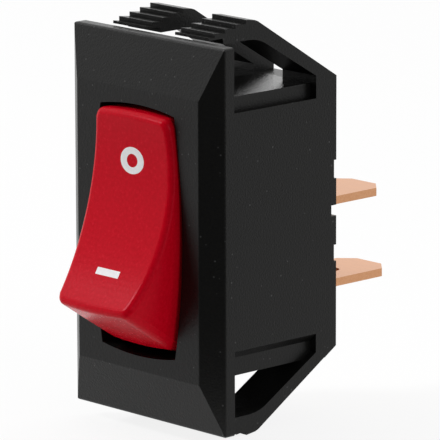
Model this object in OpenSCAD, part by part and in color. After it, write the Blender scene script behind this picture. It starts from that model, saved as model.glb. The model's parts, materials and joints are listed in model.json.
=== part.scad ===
// Snap-in panel rocker switch with two quick-connect tabs, in millimetres.
// X is the width, Y runs back through the panel, Z is up. The origin is the middle
// of the bezel's back face, where the switch bears on its panel.
// It is drawn switched off: the upper end of the rocker is pressed in.

/* [Bezel] */
// Width of the bezel
bezel_w = 20.8; // [19:0.1:24]
// Height of the bezel
bezel_h = 37; // [34:0.5:37.5]
// Thickness of the bezel at its rim
rim_t = 1.2; // [0.8:0.1:1.8]
// Height of the bevelled part, from the rim to the front flat
bevel_d = 1.5; // [1:0.1:2]
// Run of the bevels at the two long sides
side_bevel = 2; // [1:0.1:2.2]
// Run of the slopes at the two ends
end_bevel = 5; // [2:0.1:5.4]
// Rounding of the bezel's outer edges
edge_r = 0.3; // [0.1:0.05:0.5]

/* [Rocker opening] */
// Half width of the opening at mid height
open_half_w = 6.15; // [6:0.05:6.3]
// Half width of the opening at its corners
open_corner_x = 5.1; // [5.05:0.05:5.2]
// Half height of the opening on the middle line
open_half_h = 12.1; // [12:0.05:12.5]
// Half height of the opening at its corners
open_corner_z = 11.6; // [11.5:0.05:11.8]

/* [Body] */
// Half width of the body
body_half_w = 6.6; // [6.5:0.1:7]
// Depth of the body behind the panel
body_d = 17; // [17:0.1:18]
// Height of the body's top face above the middle
body_top = 12.7; // [12.7:0.1:13]
// Depth of the body's bottom face below the middle
body_bottom = 14.2; // [14:0.1:14.4]
// Depth of the strips let into the upper and lower side walls
strip_cut = 0.8; // [0.4:0.1:0.9]

/* [Snap arms] */
// Clear gap between the left and right arms
arm_gap = 4; // [3:0.5:5]
// Ratchet steps on each arm
steps = 4; // [3:1:4]
// Distance from one ratchet step to the next
step_pitch = 1.33; // [1.1:0.01:1.35]
// Height of one ratchet face
step_h = 0.42; // [0.3:0.01:0.5]

/* [Rocker] */
// Tilt of the rocker either way from its middle position, in degrees
rocker_tilt = 16.4; // [14:0.1:16.5]
// Depth of the rocker's pivot behind the bezel's back face
pivot_y = 1.9; // [1.8:0.05:2]
// Radius of the hollow finger face
face_r = 20.5; // [19:0.5:30]
// Height of the finger face over the pivot, on the middle line
face_h = 6.4; // [6:0.05:6.5]
// Rounding of the edges round the finger face
face_edge_r = 0.65; // [0.4:0.05:0.8]

/* [Contacts] */
// Tilt of the contact arm either way from its middle position, in degrees
arm_tilt = 6; // [4:0.5:6]
// Angle of each wing of the contact arm from straight, in degrees
wing_angle = 9; // [8:0.5:10]
// Thickness of the contact arm
arm_t = 0.7; // [0.5:0.1:0.8]

/* [Terminals] */
// Width of a quick-connect tab
tab_w = 6.3; // [4.8:0.1:6.3]
// Thickness of a quick-connect tab
tab_t = 0.8; // [0.5:0.1:0.8]
// Depth of the upper tab's tip behind the bezel
upper_tip_y = 27.3; // [25:0.1:30]
// Depth of the lower tab's tip behind the bezel
lower_tip_y = 28.1; // [25:0.1:30]
// Height of the lower terminal below the upper one
terminal_pitch = 8.15; // [8:0.05:8.3]
// Radius of the hole in a tab
tab_hole_r = 0.85; // [0.6:0.05:1]
// Distance of that hole from the tab's tip
tab_hole_in = 5.3; // [3.8:0.1:5.5]

/* [Hidden] */

round_fn = 48;              // sides of a drawn circle
gap = 0.05;                 // running clearance
over = 0.5;                 // how far a cut runs past a face

front_y = -rim_t - bevel_d; // the bezel's front flat
strip_x = body_half_w - strip_cut;
strip_end_y = 14.3;         // the strips end in a step here
strip_ledge_z = 11.3;       // floor of the upper strips
strip_slope_z = 11.65;      // start of the slope over the lower strips
crown_x = -0.9;             // ridge of the body's slightly crowned top
crown_h = 0.16;

cavity_x = 5.7;             // inside half width of the body
cavity_z = 10.8;            // half height of that full width
cavity_end_x = 5.15;        // inside half width above and below it
cavity_top = 11.95;
cavity_bottom = 12.4;
relief_x = 5.95;            // wider pocket for the rocker's cheeks
relief_y = 5.2;
relief_z = 8.5;

pin_r = 1.2;                // the rocker's trunnions
hub_x = 5.55;               // half width of the rocker's hub
hub_z = 2.6;
hub_y = 2.2;
barrel_r = 2.3;             // tube that guides the plunger
barrel_y = 4.9;
plunger_r = 1.5;
plunger_l = 6.5;            // pivot to the centre of the plunger's round tip
plunger_base = 1.5;         // pivot to the plunger's flat inner end
bore_end = -2.4;            // closed end of the plunger's bore
skirt_y = 0.6;              // plane of the rocker's open underside
straight_y = -1.2;          // the end faces run straight back from here
cheek_half_w = 5.76;        // half width of the rocker's cap on its middle line
cheek_r = 52;               // barrel shape of its long sides
face_z = 8.8;               // half length of the finger face on the middle line
end_bow = 0.3;              // how far the end faces bow out
end_draft = 17.3;           // slope of the end faces, in degrees
side_draft = 0.7;

nose_y = 11.7;              // the contact arm's fulcrum, at the height Z = 0
nose_r = tab_t / 2;
apex_h = 1.7;               // fulcrum to the front of the contact arm
arm_half_w = 2.5;
wing_l = 7.3;
rivet_at = 5.9;             // along the wing, from its apex
rivet_r = 1;
rivet_h = 0.5;
shank_r = 0.6;
upset_h = 0.3;
contact_gap = 0.03;         // left between the closed contacts
wing_h = apex_h * cos(wing_angle);
closed_angle = wing_angle + arm_tilt;

base_y = strip_end_y;       // the base bears on the body's ledge here
base_t = 2;
platform_y = 12.9;          // raised middle of the base that carries the terminals
shoulder_half_w = 3.7;

// ---------------------------------------------------------------- helpers

// Points of a rounded corner: centre, radius, first and last angle.
function arc(c, r, a0, a1, n = 5) =
    [for (i = [0 : n]) let (a = a0 + (a1 - a0) * i / n) c + r * [cos(a), sin(a)]];

// Stand a (Y, Z) outline up along X, from x0 to x1.
module side_profile(x0, x1)
    translate([x0, 0, 0]) rotate([90, 0, 90]) linear_extrude(x1 - x0) children();

// Carry an (X, Z) outline along Y, from y0 to y1.
module along_y(y0, y1)
    translate([0, y1, 0]) rotate([90, 0, 0]) linear_extrude(y1 - y0) children();

module box(x0, x1, y0, y1, z0, z1)
    translate([x0, y0, z0]) cube([x1 - x0, y1 - y0, z1 - z0]);

module rod_x(r, x0, x1)
    translate([x0, 0, 0]) rotate([0, 90, 0]) cylinder(r = r, h = x1 - x0, $fn = round_fn);

module rod_y(r, y0, y1, fn = round_fn)
    translate([0, y0, 0]) rotate([-90, 0, 0]) cylinder(r = r, h = y1 - y0, $fn = fn);

// Both the thing and its mirror image below the middle.
module top_and_bottom() {
    children();
    mirror([0, 0, 1]) children();
}

module left_and_right() {
    children();
    mirror([1, 0, 0]) children();
}

// ---------------------------------------------------------------- housing

// Half outline of a bevelled edge, out to half_w with a bevel that runs in by run.
function bevel_outline(half_w, run) = let (
        slope = atan2(bevel_d, run),
        back = edge_r * tan((90 - slope) / 2),
        flat_back = edge_r * tan(slope / 2))
    concat([[0, 0], [half_w, 0]],
        arc([half_w - edge_r, -rim_t + back], edge_r, 0, -(90 - slope), 4),
        arc([half_w - run - flat_back, front_y + edge_r], edge_r, -(90 - slope), -90, 4),
        [[0, front_y]]);

module bezel_plate() {
    half_w = bezel_w / 2;
    half_h = bezel_h / 2;
    intersection() {
        // plan view, carried up the bezel
        translate([0, 0, -half_h]) linear_extrude(bezel_h) {
            polygon(bevel_outline(half_w, side_bevel));
            mirror([1, 0]) polygon(bevel_outline(half_w, side_bevel));
        }
        // side view, carried across it
        side_profile(-half_w, half_w)
            for (m = [0, 1]) mirror([0, m])
                polygon([for (p = bevel_outline(half_h, end_bevel)) [p[1], p[0]]]);
        // front view, with its four rounded corners
        along_y(front_y, 0) polygon(concat(
            arc([half_w - edge_r, half_h - edge_r], edge_r, 0, 90),
            arc([edge_r - half_w, half_h - edge_r], edge_r, 90, 180),
            arc([edge_r - half_w, edge_r - half_h], edge_r, 180, 270),
            arc([half_w - edge_r, edge_r - half_h], edge_r, 270, 360)));
    }
}

// An opening whose four sides all bow out, each a flat arc through two corners.
module rocker_opening() {
    side_sag = open_half_w - open_corner_x;
    end_sag = open_half_h - open_corner_z;
    side_r = (open_corner_z * open_corner_z + side_sag * side_sag) / (2 * side_sag);
    end_r = (open_corner_x * open_corner_x + end_sag * end_sag) / (2 * end_sag);
    intersection() {
        for_sides(side_r - open_half_w) rod_y(side_r, front_y - over, over, 360);
        for_ends(end_r - open_half_h) rod_y(end_r, front_y - over, over, 360);
    }
}

// What two equal discs share when they are moved apart along X, or along Z.
module for_sides(d) intersection() {
    translate([d, 0, 0]) children();
    translate([-d, 0, 0]) children();
}

module for_ends(d) intersection() {
    translate([0, 0, d]) children();
    translate([0, 0, -d]) children();
}

module body_block() {
    along_y(-over, strip_end_y) polygon([
        [strip_x, body_top], [strip_x, strip_ledge_z],
        [body_half_w, strip_ledge_z], [body_half_w, -strip_slope_z],
        [strip_x, -strip_slope_z - strip_cut], [strip_x, -body_bottom],
        [-strip_x, -body_bottom], [-strip_x, -strip_slope_z - strip_cut],
        [-body_half_w, -strip_slope_z], [-body_half_w, strip_ledge_z],
        [-strip_x, strip_ledge_z], [-strip_x, body_top], [crown_x, body_top + crown_h]]);
    // full-width rear block, its lower edge cut off in line with the arms
    side_profile(-body_half_w, body_half_w) polygon([
        [strip_end_y, body_top], [body_d, body_top], [body_d, -13.25],
        [body_d - 1.5, -body_bottom], [strip_end_y, -body_bottom]]);
}

// Side view of an upper snap arm: a straight blade up and forward from the rear
// block, then a head with ratchet steps that fall towards the panel.
module snap_arm_outline() {
    first = [5.1, 20];      // crest of the step furthest from the panel
    step_fall = 0.27;
    head_y = 0.35;
    polygon(concat(
        [[body_d, 12.5], [body_d, 13.2], [6.65, 19.7], [6.25, 19.85]],
        [for (k = [0 : steps - 1], foot = [0, 1])
            first - k * [step_pitch, step_fall] - foot * [0, step_h]],
        [[head_y, first[1] - steps * step_fall - 0.05], [head_y, 18.6], [2.1, 18.6],
         [2.25, 18.05], [5.4, 18.05]],
        arc([5.4, 13.4], 4.65, 80, 57, 6),
        [[strip_end_y, 13.5], [strip_end_y, 12.5]]));
}

// Notches in the rear edge of each side wall: [lower edge, upper edge, depth].
rear_notches = [[3.2, 5, 0.3], [-0.45, 0.6, 0.65], [-4.9, -3.3, 0.3]];

module cavity() {
    box(-cavity_x, cavity_x, 0, body_d, -cavity_z, cavity_z);
    box(-cavity_end_x, cavity_end_x, 0, body_d, -cavity_bottom, cavity_top);
    box(-relief_x, relief_x, 0, relief_y, -relief_z, relief_z);
    // pocket that the base drops into
    box(-cavity_x, cavity_x, base_y, body_d + over, -cavity_bottom, cavity_top);
}

// A block inside each end wall that the pressed end of the rocker comes down on.
module stop_block() {
    side_profile(-1.8, 1.8) polygon([for (p = [[10, 0], [14, 0], [14, 3.4], [10.6, 1.5]])
        [pivot_y, 0]
        + p[0] * [sin(rocker_tilt), cos(rocker_tilt)]
        + (skirt_y + gap + p[1]) * [cos(rocker_tilt), -sin(rocker_tilt)]]);
}

// A low wedge inside the side wall that holds the base in.
module base_catch()
    translate([0, 0, 6]) linear_extrude(3) polygon([
        [cavity_x + 0.1, base_y + base_t + 0.02], [cavity_x - 0.22, base_y + base_t + 0.02],
        [cavity_x + 0.1, base_y + base_t + 0.6]]);

module housing() {
    arm_x = arm_gap / 2;
    color("#26262a") difference() {
        union() {
            difference() {
                union() {
                    bezel_plate();
                    body_block();
                }
                cavity();
                rocker_opening();
            }
            intersection() {
                top_and_bottom() stop_block();
                box(-cavity_x, cavity_x, 0, body_d, -cavity_bottom - over, cavity_top + over);
            }
            left_and_right() top_and_bottom() {
                side_profile(arm_x, body_half_w) snap_arm_outline();
                base_catch();
            }
        }
        translate([0, pivot_y, 0]) rod_x(pin_r + gap, -body_half_w - over, body_half_w + over);
        left_and_right() for (n = rear_notches)
            box(cavity_x + 0.1, body_half_w + over, body_d - n[2], body_d + over, n[0], n[1]);
    }
}

// ---------------------------------------------------------------- base and terminals

module tab_slot(z)
    box(-tab_w / 2 - gap / 2, tab_w / 2 + gap / 2, platform_y - over, base_y + base_t + 1,
        z - tab_t / 2 - gap / 2, z + tab_t / 2 + gap / 2);

module terminal_base() {
    platform_x = 4.7;
    collar = 0.45;
    heights = [0, -terminal_pitch];
    color("#1d1d20") difference() {
        union() {
            box(-cavity_x + gap, cavity_x - gap, base_y, base_y + base_t,
                -cavity_bottom + gap, cavity_top - gap);
            box(-platform_x, platform_x, platform_y, base_y + 0.1, -terminal_pitch - 1.8, 1.8);
            for (z = heights)
                box(-platform_x, platform_x, base_y + base_t - 0.1, base_y + base_t + collar,
                    z - 1.2, z + 1.2);
            arm_stop();
        }
        for (z = heights) tab_slot(z);
    }
}

// Post that the lower wing of the contact arm rests on while the switch is off.
module arm_stop() {
    rest_angle = wing_angle - arm_tilt;
    z0 = -5;
    z1 = -3.9;
    wing_back = wing_h - arm_t - gap;
    side_profile(-1.5, 1.5) polygon([
        for (z = [z0, z1])
            [nose_y + (z * sin(rest_angle) - wing_back) / cos(rest_angle), z],
        [platform_y + 0.1, z1], [platform_y + 0.1, z0]]);
}

// A tab from the base to its tip, with two corners cut off and a wire hole.
module tab(z, tip_y) {
    cut_x = 1.5;
    cut_y = 1.4;
    half = tab_w / 2;
    translate([0, 0, z - tab_t / 2]) linear_extrude(tab_t) difference() {
        polygon([[-half, platform_y], [half, platform_y], [half, tip_y - cut_y],
                 [half - cut_x, tip_y], [cut_x - half, tip_y], [-half, tip_y - cut_y]]);
        translate([0, tip_y - tab_hole_in]) circle(r = tab_hole_r, $fn = round_fn);
    }
}

// The common terminal. Its rounded inner edge is the contact arm's fulcrum.
module upper_terminal() {
    color("#d49a72") {
        tab(0, upper_tip_y);
        box(-shoulder_half_w, shoulder_half_w, nose_y + 0.6, platform_y, -tab_t / 2, tab_t / 2);
        box(-arm_half_w - 0.3, arm_half_w + 0.3, nose_y, nose_y + 0.7, -tab_t / 2, tab_t / 2);
        translate([0, nose_y, 0]) rod_x(nose_r, -arm_half_w - 0.3, arm_half_w + 0.3);
    }
}

// Depth of the closed contacts' plane at height z, moved forward by d.
function closed_plane(z, d) =
    nose_y + (z * sin(closed_angle) - wing_h - d) / cos(closed_angle);

hook_front = rivet_h + contact_gap + rivet_h;   // contact arm to the hook's rear face

// The load terminal: its inner leg runs forward and turns up in front of the arm.
module lower_terminal() {
    z0 = -terminal_pitch - tab_t / 2;
    z1 = -terminal_pitch + tab_t / 2;
    top = -4.1;
    color("#d49a72") difference() {
        union() {
            tab(-terminal_pitch, lower_tip_y);
            box(-shoulder_half_w, shoulder_half_w, nose_y, platform_y, z0, z1);
            side_profile(-arm_half_w, arm_half_w) polygon([
                [nose_y + 0.1, z1], [closed_plane(z1, hook_front), z1],
                [closed_plane(top, hook_front), top],
                [closed_plane(top, hook_front + tab_t), top],
                [closed_plane(z0, hook_front + tab_t), z0], [nose_y + 0.1, z0]]);
        }
        on_arm(-arm_tilt) on_wing() rod_y(shank_r, -5, 0);
    }
}

// ---------------------------------------------------------------- contact arm

// The arm's own frame, centred on the fulcrum and turned by a.
module on_arm(a) translate([0, nose_y, 0]) rotate([a, 0, 0]) children();

// On the lower wing: the origin is where the contact sits, Y runs back through it.
module on_wing()
    translate([0, -apex_h, 0]) rotate([-wing_angle, 0, 0]) translate([0, 0, -rivet_at]) children();

module rivet(head, grip) {
    rod_y(rivet_r, -head, 0);
    rod_y(shank_r, -0.1, grip + 0.1);
    rod_y(rivet_r * 0.85, grip, grip + upset_h);
}

// A bent strip with two ears folded back, notched where they rock on the fulcrum.
module contact_arm() {
    s = sin(wing_angle);
    c = cos(wing_angle);
    t = arm_t / c;
    end = wing_l * [-s, c];
    ear_w = 0.7;
    color("#c98a5e") on_arm(arm_tilt) difference() {
        union() {
            side_profile(-arm_half_w, arm_half_w) polygon([
                [-apex_h, 0], [-apex_h, 0] + end, [-apex_h, 0] + end + arm_t * [c, s],
                [-apex_h + t, 0],
                [-apex_h, 0] + [end[0], -end[1]] + arm_t * [c, -s],
                [-apex_h, 0] + [end[0], -end[1]]]);
            left_and_right() side_profile(arm_half_w - ear_w, arm_half_w)
                polygon([[-apex_h + 0.3, -2.2], [-0.1, -1.1], [0.1, -1.1],
                         [0.1, 1.1], [-0.1, 1.1], [-apex_h + 0.3, 2.2]]);
        }
        rod_x(nose_r + gap, -arm_half_w - over, arm_half_w + over);
        on_wing() rod_y(shank_r + 0.01, -1, 2);
    }
}

module moving_contact()
    color("#d8d8d2") on_arm(arm_tilt) on_wing() rivet(rivet_h, arm_t);

// The rivet on the hook, facing back, in line with the arm's own when they close.
module fixed_contact()
    color("#d8d8d2") on_arm(-arm_tilt) on_wing()
        translate([0, -rivet_h - contact_gap, 0]) {
            rod_y(rivet_r, -rivet_h, 0);
            rod_y(shank_r - 0.01, -rivet_h - tab_t - 0.1, -rivet_h + 0.1);
            rod_y(rivet_r * 0.85, -rivet_h - tab_t - upset_h, -rivet_h - tab_t);
        }

// ---------------------------------------------------------------- rocker

// The rocker's own frame, centred on its pivot, tilted to the off position.
module on_rocker() translate([0, pivot_y, 0]) rotate([-rocker_tilt, 0, 0]) children();

// Depth of the hollow finger face at height z, and half width of the rocker there.
function face_y(z) = -face_h - face_r + sqrt(face_r * face_r - z * z);
function cheek_w(z) = cheek_half_w - z * z / (2 * cheek_r);

function unit(v) = v / norm(v);
// The direction a share t of the way round from direction a to direction b.
function between(a, b, t) = let (sweep = acos(a * b))
    (sin((1 - t) * sweep) * a + sin(t * sweep) * b) / sin(sweep);

// Half of the finger face's outline, from the middle of its lower edge round the +X
// side to the middle of its upper edge. Each entry holds x, z, the way out (nx, nz),
// and how much of the side and end draft the wall has there (dx, dz).
corner_r = 0.3;
corner_x = cheek_w(face_z) - face_edge_r - corner_r;
corner_z = face_z - end_bow * pow(corner_x / cheek_half_w, 2) - corner_r;
function face_end(x) = let (k = end_bow / pow(cheek_half_w, 2))
    concat([x, face_z - k * x * x], unit([2 * k * x, 1]), [x / corner_x, 1]);
function face_corner(a) = concat(
    [corner_x, corner_z] + corner_r * [cos(a), sin(a)], [cos(a), sin(a)], [1, 1]);
function face_side(z) = concat(
    [cheek_w(z) - face_edge_r, z], unit([1, z / cheek_r]), [1, z / corner_z]);
upper_corner = concat(
    [for (i = [1 : 5]) face_corner(12 + 72 * i / 6)],
    [for (i = [5 : -1 : 0]) face_end(corner_x * i / 5)]);
half_outline = concat(
    [for (i = [len(upper_corner) - 1 : -1 : 0]) let (p = upper_corner[i])
        [p[0], -p[1], p[2], -p[3], p[4], -p[5]]],
    [for (i = [-14 : 14]) face_side(corner_z * i / 14)],
    upper_corner);

// Where the wall stands at depth y, below the point where its edge rounding ends.
function wall_point(p, wall_end, y) = let (
        fall = min(y, straight_y) - wall_end[1],
        z = wall_end[2] + p[5] * fall * tan(end_draft),
        spread = fall * tan(side_draft) + cheek_w(z) - cheek_w(wall_end[2]))
    [wall_end[0] + p[4] * spread, y, z];

// The ring of points k steps up the rocker's outside: 0 is the open underside, 1 is
// the start of the straight part, 2 is where the wall ends, and then it rounds over to
// the edge of the face at the last.
round_steps = 6;
function cap_point(p, k) = let (
        wall = unit([p[2], -pow(p[2], 2) * tan(side_draft) - pow(p[3], 2) * tan(end_draft), p[3]]),
        up = [0, -sqrt(face_r * face_r - p[1] * p[1]), -p[1]] / face_r,
        centre = [p[0], face_y(p[1]), p[1]] - face_edge_r * up,
        wall_end = centre + face_edge_r * wall)
    k == 0 ? wall_point(p, wall_end, skirt_y)
    : k == 1 ? wall_point(p, wall_end, straight_y)
    : centre + face_edge_r * between(wall, up, (k - 2) / round_steps);

module rocker_cap() {
    last = len(half_outline) - 1;
    m = 2 * last;
    rows = round_steps + 3;
    points = [for (k = [0 : rows - 1], j = [0 : m - 1])
        let (q = cap_point(half_outline[j <= last ? j : m - j], k))
        [j <= last ? q[0] : -q[0], q[1], q[2]]];
    faces = concat(
        [for (k = [0 : rows - 2], j = [0 : m - 1], h = [0, 1])
            let (a = k * m + j, b = k * m + (j + 1) % m)
            h == 0 ? [a, b, b + m] : [a, b + m, a + m]],
        [for (j = [0 : last - 1], h = [0, 1]) let (a = (m - j) % m, b = m - j - 1)
            if (h == 0 ? j > 0 : j < last - 1)
                h == 0 ? [a, j, j + 1] : [a, j + 1, b]],
        [for (j = [0 : last - 1], h = [0, 1])
            let (t = (rows - 1) * m, a = (m - j) % m, b = m - j - 1)
            if (h == 0 ? j > 0 : j < last - 1)
                h == 0 ? [t + j + 1, t + j, t + a] : [t + b, t + j + 1, t + a]]);
    polyhedron(points, faces);
}

module rocker() {
    pocket_z = 9;
    pocket_x = 4.1;
    pocket_y = -5.1;
    wall = 0.6;
    color("#c1121f") on_rocker() difference() {
        union() {
            difference() {
                rocker_cap();
                top_and_bottom()
                    box(-pocket_x, pocket_x, pocket_y, skirt_y + over, hub_z + wall, pocket_z);
            }
            box(-hub_x, hub_x, skirt_y - over, hub_y, -hub_z, hub_z);
            rod_y(barrel_r, 0, barrel_y);
            rod_x(pin_r, -body_half_w + 0.1, body_half_w - 0.1);
        }
        rod_y(plunger_r + gap, bore_end, barrel_y + over);
    }
}

module plunger()
    color("#e8e6df") on_rocker() {
        rod_y(plunger_r, plunger_base, plunger_l);
        translate([0, plunger_l, 0]) sphere(r = plunger_r, $fn = round_fn);
    }

// A coil spring swept as rings along a helix, with closed turns at both ends.
module plunger_spring() {
    wire_r = 0.17;
    coil_r = 1.1;
    turns = 6;
    per_turn = 14;
    sides = 6;
    room = plunger_base - bore_end - 2 * wire_r;
    n = turns * per_turn;
    function rise(t) = let (e = 2 * wire_r, u = min(max((t - 1) / (turns - 2), 0), 1))
        min(t, 1) * e + u * (room - 2 * e) + max(t - turns + 1, 0) * e;
    points = [for (i = [0 : n], j = [0 : sides - 1]) let (
            a = 360 * i / per_turn,
            b = 360 * j / sides,
            r = coil_r + wire_r * cos(b))
        [r * cos(a), bore_end + wire_r + rise(i / per_turn) + wire_r * sin(b), r * sin(a)]];
    faces = concat(
        [for (i = [0 : n - 1], j = [0 : sides - 1], h = [0, 1]) let (k = (j + 1) % sides)
            h == 0 ? [i * sides + j, (i + 1) * sides + k, i * sides + k]
                   : [i * sides + j, (i + 1) * sides + j, (i + 1) * sides + k]],
        [[for (j = [0 : sides - 1]) j]],
        [[for (j = [sides - 1 : -1 : 0]) n * sides + j]]);
    color("#b9bcc0") on_rocker() polyhedron(points, faces);
}

housing();
terminal_base();
upper_terminal();
lower_terminal();
fixed_contact();
rocker();
plunger();
plunger_spring();
contact_arm();
moving_contact();
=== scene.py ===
# %% [markdown]
# # A panel rocker switch
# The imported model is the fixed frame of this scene: every CAD node is already at its
# real place and size, in metres, with +X across the bezel, +Y back through the panel
# and +Z up. The scene adds the finish of each surface, the two printed marks on the
# rocker, and the light. It moves and resizes nothing.

# %% Load the frame
import json
import math

import bmesh
import bpy
import numpy as np
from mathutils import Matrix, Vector


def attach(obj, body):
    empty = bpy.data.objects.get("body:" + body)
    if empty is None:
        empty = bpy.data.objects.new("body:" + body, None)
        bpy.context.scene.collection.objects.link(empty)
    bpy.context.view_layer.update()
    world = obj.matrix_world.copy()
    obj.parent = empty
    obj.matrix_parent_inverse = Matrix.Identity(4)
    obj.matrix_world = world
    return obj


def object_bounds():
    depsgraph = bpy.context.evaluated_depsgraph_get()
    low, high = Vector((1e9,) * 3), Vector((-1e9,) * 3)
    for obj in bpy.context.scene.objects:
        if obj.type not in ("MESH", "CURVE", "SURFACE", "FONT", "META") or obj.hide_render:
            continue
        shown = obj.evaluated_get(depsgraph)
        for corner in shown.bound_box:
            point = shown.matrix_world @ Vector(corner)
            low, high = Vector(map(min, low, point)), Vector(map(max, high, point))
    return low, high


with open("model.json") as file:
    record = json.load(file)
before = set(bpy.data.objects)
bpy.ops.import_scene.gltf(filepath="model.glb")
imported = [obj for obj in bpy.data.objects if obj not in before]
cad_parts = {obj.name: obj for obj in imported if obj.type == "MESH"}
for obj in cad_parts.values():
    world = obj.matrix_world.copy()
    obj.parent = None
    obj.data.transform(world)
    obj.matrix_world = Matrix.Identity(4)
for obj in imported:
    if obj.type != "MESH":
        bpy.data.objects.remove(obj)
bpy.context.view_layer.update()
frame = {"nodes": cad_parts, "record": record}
nodes = frame["nodes"]
MM = 0.001
print("CAD nodes:", ", ".join(sorted(nodes)))

# %% [markdown]
# ## The camera
# A long lens from half a metre away keeps the bezel's two long edges nearly parallel.
# The camera's place is given as an azimuth round the switch, an elevation and a
# distance from the point it looks at, because those are easy to picture and to adjust.

# %% Place the camera
AZIMUTH = math.radians(46.724)
ELEVATION = math.radians(12.34)
ROLL = math.radians(-0.165)
DISTANCE = 473.17 * MM
LOOK_AT = Vector((3.865, 4.294, 0.591)) * MM
SENSOR = 36.0
LENS = 410.3

to_camera = Vector((
    math.sin(AZIMUTH) * math.cos(ELEVATION),
    -math.cos(AZIMUTH) * math.cos(ELEVATION),
    math.sin(ELEVATION),
))
camera = bpy.data.objects.new("camera", bpy.data.cameras.new("camera"))
camera.data.sensor_width = SENSOR
camera.data.lens = LENS
camera.data.clip_start = 0.01
camera.location = LOOK_AT + DISTANCE * to_camera
aim = to_camera.to_track_quat("Z", "Y")
camera.rotation_euler = aim.to_euler()
camera.rotation_euler.rotate_axis("Z", ROLL)
bpy.context.scene.collection.objects.link(camera)
bpy.context.scene.camera = camera
print("camera at", [round(v, 4) for v in camera.location])

# %% [markdown]
# ## Materials
# Every finish is a small graph of nodes on object coordinates, so that the pattern
# stays in the plastic when the rocker moves. A helper holds the parts they share.

# %% Helpers for node graphs
def new_material(name):
    """A new material with a Principled shader: returns it, its node tree and its shader."""
    material = bpy.data.materials.new(name)
    material.use_nodes = True
    tree = material.node_tree
    tree.nodes.clear()
    output = tree.nodes.new("ShaderNodeOutputMaterial")
    shader = tree.nodes.new("ShaderNodeBsdfPrincipled")
    tree.links.new(shader.outputs["BSDF"], output.inputs["Surface"])
    return material, tree, shader


def add(tree, kind, links=(), **values):
    """Adds a node, sets its inputs and properties by name, and links (socket, input) pairs."""
    node = tree.nodes.new(kind)
    for key, value in values.items():
        if key in node.inputs:
            node.inputs[key].default_value = value
        else:
            setattr(node, key, value)
    for source, target in links:
        tree.links.new(source, node.inputs[target])
    return node


def object_points(tree):
    """The point being shaded, in the object's own metres."""
    return add(tree, "ShaderNodeTexCoord").outputs["Object"]


def noise(tree, size, detail=2.0, roughness=0.5):
    """Noise whose blobs are about size metres across."""
    return add(tree, "ShaderNodeTexNoise", [(object_points(tree), "Vector")],
               Scale=1 / size, Detail=detail, Roughness=roughness).outputs["Fac"]


def ramp(tree, fac, low, high, start=0.0, end=1.0):
    """A number that runs from low to high as fac runs from start to end."""
    return add(tree, "ShaderNodeMapRange", [(fac, "Value")], **{
        "From Min": start, "From Max": end, "To Min": low, "To Max": high,
    }).outputs["Result"]


def colours(tree, fac, *stops):
    """A colour ramp through (place, (r, g, b)) stops."""
    node = add(tree, "ShaderNodeValToRGB", [(fac, "Fac")])
    while len(node.color_ramp.elements) < len(stops):
        node.color_ramp.elements.new(0.5)
    for element, (place, rgb) in zip(node.color_ramp.elements, stops):
        element.position = place
        element.color = (*rgb, 1)
    return node.outputs["Color"]


def bump(tree, height, distance, strength=1.0, below=None):
    """A bump of that height in metres, on top of another one."""
    links = [(height, "Height")] + ([(below, "Normal")] if below else [])
    return add(tree, "ShaderNodeBump", links, Strength=strength, Distance=distance).outputs["Normal"]


# %% [markdown]
# ### Black moulded plastic
# The housing is a mineral-filled nylon: nearly black, with a fine grain from the eroded
# steel of its mould, and a few pale specks. The grain is a bump of two hundredths of a
# millimetre and not a colour, so it only shows where light grazes it. The body's top
# face comes from a polished part of the mould, so it alone is smooth enough to mirror.

# %% Black plastic
POLISHED = ((-7, 7), (0.2, 14.2), (12.6, 12.95))


def polished_top(tree):
    """1 on the body's top face, between the arms, and 0 elsewhere: the product of a step
    up at each lower limit and a step down at each upper one, in millimetres."""
    place = add(tree, "ShaderNodeSeparateXYZ", [(object_points(tree), "Vector")])
    mask = None
    for axis, (low, high) in zip("XYZ", POLISHED):
        for limit, operation in ((low, "GREATER_THAN"), (high, "LESS_THAN")):
            side = add(tree, "ShaderNodeMath", [(place.outputs[axis], 0)], operation=operation)
            side.inputs[1].default_value = limit * MM
            if mask:
                both = add(tree, "ShaderNodeMath", [(mask, 0), (side.outputs[0], 1)],
                           operation="MULTIPLY")
                mask = both.outputs[0]
            else:
                mask = side.outputs[0]
    return mask


def black_plastic(name, grain=0.03):
    material, tree, shader = new_material(name)
    fine = noise(tree, 0.20 * MM, detail=3)
    specks = add(tree, "ShaderNodeTexVoronoi", [(object_points(tree), "Vector")],
                 Scale=1 / (1.1 * MM)).outputs["Distance"]
    base = colours(tree, fine, (0.3, (0.0035, 0.0035, 0.0033)), (0.7, (0.006, 0.006, 0.0055)))
    speck = ramp(tree, specks, 1, 0, 0.05, 0.10)
    tint = add(tree, "ShaderNodeMix", [(speck, "Factor"), (base, "A")], data_type="RGBA",
               B=(0.05, 0.05, 0.05, 1))
    tree.links.new(tint.outputs[2], shader.inputs["Base Color"])
    shader.inputs["Specular IOR Level"].default_value = 0.2
    matt = ramp(tree, noise(tree, 3 * MM), 0.30, 0.36)
    roughness = add(tree, "ShaderNodeMix", [(polished_top(tree), "Factor"), (matt, "A")], B=0.07)
    tree.links.new(roughness.outputs["Result"], shader.inputs["Roughness"])
    tree.links.new(bump(tree, fine, grain * MM), shader.inputs["Normal"])
    return material


# %% [markdown]
# ### Red moulded plastic
# The rocker is a glossier plastic than the housing, over a slightly coarser grain. A low
# specular level keeps its red deep where it mirrors the white surround, while its low
# roughness still gathers the key light into a broken pink line along its rounded edges.

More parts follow.
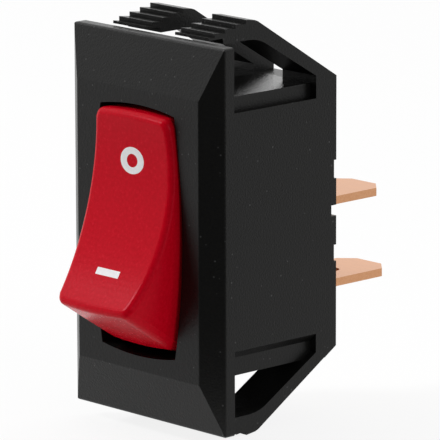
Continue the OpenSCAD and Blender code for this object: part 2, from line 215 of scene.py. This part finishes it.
# %% Red plastic
def red_plastic(name):
    material, tree, shader = new_material(name)
    fine = noise(tree, 0.30 * MM, detail=3)
    base = colours(tree, fine, (0.35, (0.57, 0.001, 0.010)), (0.65, (0.63, 0.002, 0.014)))
    tree.links.new(base, shader.inputs["Base Color"])
    shader.inputs["Specular IOR Level"].default_value = 0.08
    shader.inputs["Specular Tint"].default_value = (1.0, 0.45, 0.6, 1)
    tree.links.new(ramp(tree, fine, 0.22, 0.28, 0.3, 0.7), shader.inputs["Roughness"])
    tree.links.new(bump(tree, fine, 0.014 * MM), shader.inputs["Normal"])
    return material


# %% Metals
def copper(name):
    material, tree, shader = new_material(name)
    streak_points = add(tree, "ShaderNodeMapping", [(object_points(tree), "Vector")],
                        Scale=(1, 12, 12))
    streaks = add(tree, "ShaderNodeTexNoise", [(streak_points.outputs["Vector"], "Vector")],
                  Scale=1 / (2 * MM), Detail=3).outputs["Fac"]
    base = colours(tree, streaks, (0.3, (0.57, 0.28, 0.14)), (0.7, (0.64, 0.34, 0.185)))
    tree.links.new(base, shader.inputs["Base Color"])
    shader.inputs["Metallic"].default_value = 1
    tree.links.new(ramp(tree, streaks, 0.30, 0.45), shader.inputs["Roughness"])
    tree.links.new(bump(tree, streaks, 0.004 * MM), shader.inputs["Normal"])
    return material


def plain_metal(name, rgb, roughness):
    material, tree, shader = new_material(name)
    fine = noise(tree, 0.4 * MM)
    tree.links.new(colours(tree, fine, (0.3, [0.9 * v for v in rgb]), (0.7, rgb)),
                   shader.inputs["Base Color"])
    shader.inputs["Metallic"].default_value = 1
    tree.links.new(ramp(tree, fine, roughness, roughness + 0.1), shader.inputs["Roughness"])
    return material


def natural_plastic(name):
    material, tree, shader = new_material(name)
    fine = noise(tree, 0.5 * MM)
    tree.links.new(colours(tree, fine, (0.3, (0.74, 0.72, 0.66)), (0.7, (0.8, 0.78, 0.72))),
                   shader.inputs["Base Color"])
    tree.links.new(ramp(tree, fine, 0.35, 0.45), shader.inputs["Roughness"])
    return material


def white_print(name):
    material, tree, shader = new_material(name)
    fine = noise(tree, 0.25 * MM, detail=3)
    tree.links.new(colours(tree, fine, (0.3, (0.90, 0.90, 0.92)), (0.7, (0.97, 0.97, 0.97))),
                   shader.inputs["Base Color"])
    tree.links.new(ramp(tree, fine, 0.4, 0.5), shader.inputs["Roughness"])
    return material


# %% Dress the CAD nodes
finishes = {
    "black_plastic": black_plastic("black_plastic"),
    "red_plastic": red_plastic("red_plastic"),
    "copper": copper("copper"),
    "natural_plastic": natural_plastic("natural_plastic"),
    "spring_steel": plain_metal("spring_steel", (0.62, 0.62, 0.64), 0.25),
    "silver": plain_metal("silver", (0.86, 0.85, 0.82), 0.3),
}
for part in frame["record"]["subparts"]:
    node = nodes[part["node"]]
    node.data.materials.clear()
    node.data.materials.append(finishes[part["material_slot"]])
print("dressed", len(nodes), "nodes")

# %% [markdown]
# ## The printed marks
# The O and the bar are pad-printed on the hollow finger face: a film of ink about two
# hundredths of a millimetre thick. A texture could draw them, but a thin closed shell
# keeps its sharp edge at any size. Each mark is a grid of two parameters laid on the
# face's own cylinder, in the rocker's frame, and then turned with the rocker about its
# pivot to the off position.

# %% Lay a grid on the finger face
FACE_RADIUS = 20.5 * MM
FACE_HEIGHT = 6.4 * MM
PIVOT = 1.9 * MM
TILT = math.radians(-16.4)
INK = 0.02 * MM


def on_face(x, z, lift):
    """Points lift above the hollow face: y = -height - radius + sqrt(radius^2 - z^2),
    moved along the face's normal and turned by the rocker's tilt about its pivot."""
    rise = np.sqrt(FACE_RADIUS ** 2 - z ** 2)
    y = -FACE_HEIGHT - FACE_RADIUS + rise - lift * rise / FACE_RADIUS
    z = z - lift * z / FACE_RADIUS
    return np.stack([x, PIVOT + y * math.cos(TILT) - z * math.sin(TILT),
                     y * math.sin(TILT) + z * math.cos(TILT)], axis=-1)


def ink_shell(name, x, z, closed):
    """A closed shell of ink over the grid x[i, j], z[i, j]: a face side up, the same grid
    below it, and walls round the border. With closed, the rows join up into a ring."""
    rows, columns = x.shape
    points = np.concatenate([on_face(x, z, INK).reshape(-1, 3),
                             on_face(x, z, -INK).reshape(-1, 3)])
    index = np.arange(rows * columns).reshape(rows, columns)
    if closed:
        index = np.vstack([index, index[:1]])
    a, b, c, d = index[:-1, :-1], index[1:, :-1], index[1:, 1:], index[:-1, 1:]
    top = np.stack([a, b, c, d], axis=-1).reshape(-1, 4)
    below = rows * columns
    borders = [index[:, 0], index[::-1, -1]]
    if not closed:
        borders += [index[-1, :], index[0, ::-1]]
    walls = [np.stack([edge[1:], edge[:-1], edge[:-1] + below, edge[1:] + below], axis=-1)
             for edge in borders]
    faces = np.concatenate([top, top[:, ::-1] + below] + walls)
    mesh = bpy.data.meshes.new(name)
    mesh.from_pydata(points.tolist(), [], faces.tolist())
    mesh.validate()
    work = bmesh.new()
    work.from_mesh(mesh)
    bmesh.ops.recalc_face_normals(work, faces=work.faces)
    work.to_mesh(mesh)
    work.free()
    mesh.materials.append(ink)
    piece = bpy.data.objects.new(name, mesh)
    bpy.context.scene.collection.objects.link(piece)
    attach(piece, "rocker")
    print(name, len(mesh.polygons), "faces")
    return piece


# %% The O and the bar
ink = white_print("white_print")
O_CENTRE = (0.10 * MM, 5.08 * MM)
O_OUTER = (1.60 * MM, 1.24 * MM)
O_INNER = (0.74 * MM, 0.62 * MM)
turn = np.linspace(0, 2 * np.pi, 96, endpoint=False)[:, None]
across = np.linspace(0, 1, 9)[None, :]
ink_shell("mark_o",
          O_CENTRE[0] + (O_INNER[0] + (O_OUTER[0] - O_INNER[0]) * across) * np.cos(turn),
          O_CENTRE[1] + (O_INNER[1] + (O_OUTER[1] - O_INNER[1]) * across) * np.sin(turn), True)

BAR_CENTRE = (0.10 * MM, -5.66 * MM)
BAR_HALF = (1.56 * MM, 0.34 * MM)
along, up = np.meshgrid(np.linspace(-1, 1, 25), np.linspace(-1, 1, 9), indexing="ij")
ink_shell("mark_bar", BAR_CENTRE[0] + BAR_HALF[0] * along, BAR_CENTRE[1] + BAR_HALF[1] * up, False)

# %% [markdown]
# ## The light
# Black plastic shows its surroundings more than its own colour. A surround that was
# white everywhere would make every face of the bezel equally grey, so this one is dark
# on the camera's side: the front and the side wall mirror the white, and the bevel
# between them mirrors the dark. Two soft boxes add the light that the red plastic
# needs: a key from the upper left, and one from the right for the rocker's side.

# %% The surround
scene = bpy.context.scene
scene.view_settings.view_transform = "Standard"


def light_tent(bright, dim, shown):
    """A white surround that is open, and so dark, on the side of the camera.

    Strength is bright where a direction points away from the camera and dim where it
    points towards it, with a smooth change between. The camera itself sees shown.
    """
    world = bpy.data.worlds.new("light_tent")
    world.use_nodes = True
    tree = world.node_tree
    tree.nodes.clear()
    output = tree.nodes.new("ShaderNodeOutputWorld")
    background = add(tree, "ShaderNodeBackground", Color=(1, 1, 1, 1))
    direction = add(tree, "ShaderNodeTexCoord").outputs["Generated"]
    facing = add(tree, "ShaderNodeVectorMath", [(direction, 0)], operation="DOT_PRODUCT")
    facing.inputs[1].default_value = to_camera
    tent = add(tree, "ShaderNodeMapRange", [(facing.outputs["Value"], "Value")],
               interpolation_type="SMOOTHSTEP", **{
                   "From Min": TENT_EDGE[0], "From Max": TENT_EDGE[1],
                   "To Min": bright, "To Max": dim}).outputs["Result"]
    seen = add(tree, "ShaderNodeLightPath").outputs["Is Camera Ray"]
    level = add(tree, "ShaderNodeMix", [(seen, "Factor"), (tent, "A")], B=shown).outputs["Result"]
    tree.links.new(level, background.inputs["Strength"])
    tree.links.new(background.outputs["Background"], output.inputs["Surface"])
    return world


# %% Lamps
def soft_box(name, direction, size, power):
    """A square lamp that shines on the switch from a direction, given as a vector."""
    lamp = bpy.data.lights.new(name, "AREA")
    lamp.shape = "SQUARE"
    lamp.size = size
    lamp.energy = power
    box = bpy.data.objects.new(name, lamp)
    away = Vector(direction).normalized()
    box.location = LOOK_AT + away * LAMP_DISTANCE
    box.rotation_euler = away.to_track_quat("Z", "Y").to_euler()
    scene.collection.objects.link(box)
    return box


TENT_EDGE = (0.0, 0.4)
TENT_BRIGHT = 1.25
TENT_DIM = 0.15
WHITE = 1.0
LAMP_DISTANCE = 0.6
scene.world = light_tent(TENT_BRIGHT, TENT_DIM, WHITE)
soft_box("key", (-0.55, -0.5, 0.67), size=0.12, power=1.36)
soft_box("right", (0.95, -0.05, 0.35), size=0.4, power=1.2)
print("lamps:", [lamp.name for lamp in bpy.data.lights])

# %% [markdown]
# ### The floor
# The white sheet under the switch ends just in front of it, so that the bevel doesn't
# mirror it. To the camera and to mirrored rays most of its white is a plain glow, and
# the rest is lit, which keeps the switch's shadow.

# %% Floor
FLOOR_WHITE = 0.85
FLOOR_FRONT = 22 * MM
FLOOR_REACH = 1.0
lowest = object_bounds()[0][2]
forward = Vector((to_camera.x, to_camera.y, 0)).normalized()
sideways = Vector((-forward.y, forward.x, 0))
corners = [forward * along + sideways * across + Vector((0, 0, lowest)) for along, across in (
    (-FLOOR_REACH, FLOOR_REACH), (-FLOOR_REACH, -FLOOR_REACH),
    (FLOOR_FRONT, -FLOOR_REACH), (FLOOR_FRONT, FLOOR_REACH))]
floor_mesh = bpy.data.meshes.new("floor")
floor_mesh.from_pydata(corners, [], [(0, 1, 2, 3)])
floor = bpy.data.objects.new("floor", floor_mesh)
scene.collection.objects.link(floor)
floor_material, floor_tree, floor_shader = new_material("floor_white")
floor_shader.inputs["Base Color"].default_value = (0.9, 0.9, 0.9, 1)
floor_shader.inputs["Roughness"].default_value = 0.7
glow = add(floor_tree, "ShaderNodeEmission", Color=(1, 1, 1, 1), Strength=WHITE)
rays = add(floor_tree, "ShaderNodeLightPath").outputs
seen = add(floor_tree, "ShaderNodeMath", [(rays["Is Camera Ray"], 0), (rays["Is Glossy Ray"], 1)],
           operation="MAXIMUM")
seen = add(floor_tree, "ShaderNodeMath", [(seen.outputs[0], 0), (rays["Is Transmission Ray"], 1)],
           operation="MAXIMUM")
share = add(floor_tree, "ShaderNodeMath", [(seen.outputs[0], 0)], operation="MULTIPLY")
share.inputs[1].default_value = FLOOR_WHITE
mix = add(floor_tree, "ShaderNodeMixShader", [(share.outputs[0], 0),
          (floor_shader.outputs[0], 1), (glow.outputs[0], 2)])
floor_tree.links.new(mix.outputs[0], floor_tree.nodes["Material Output"].inputs["Surface"])
floor_mesh.materials.append(floor_material)
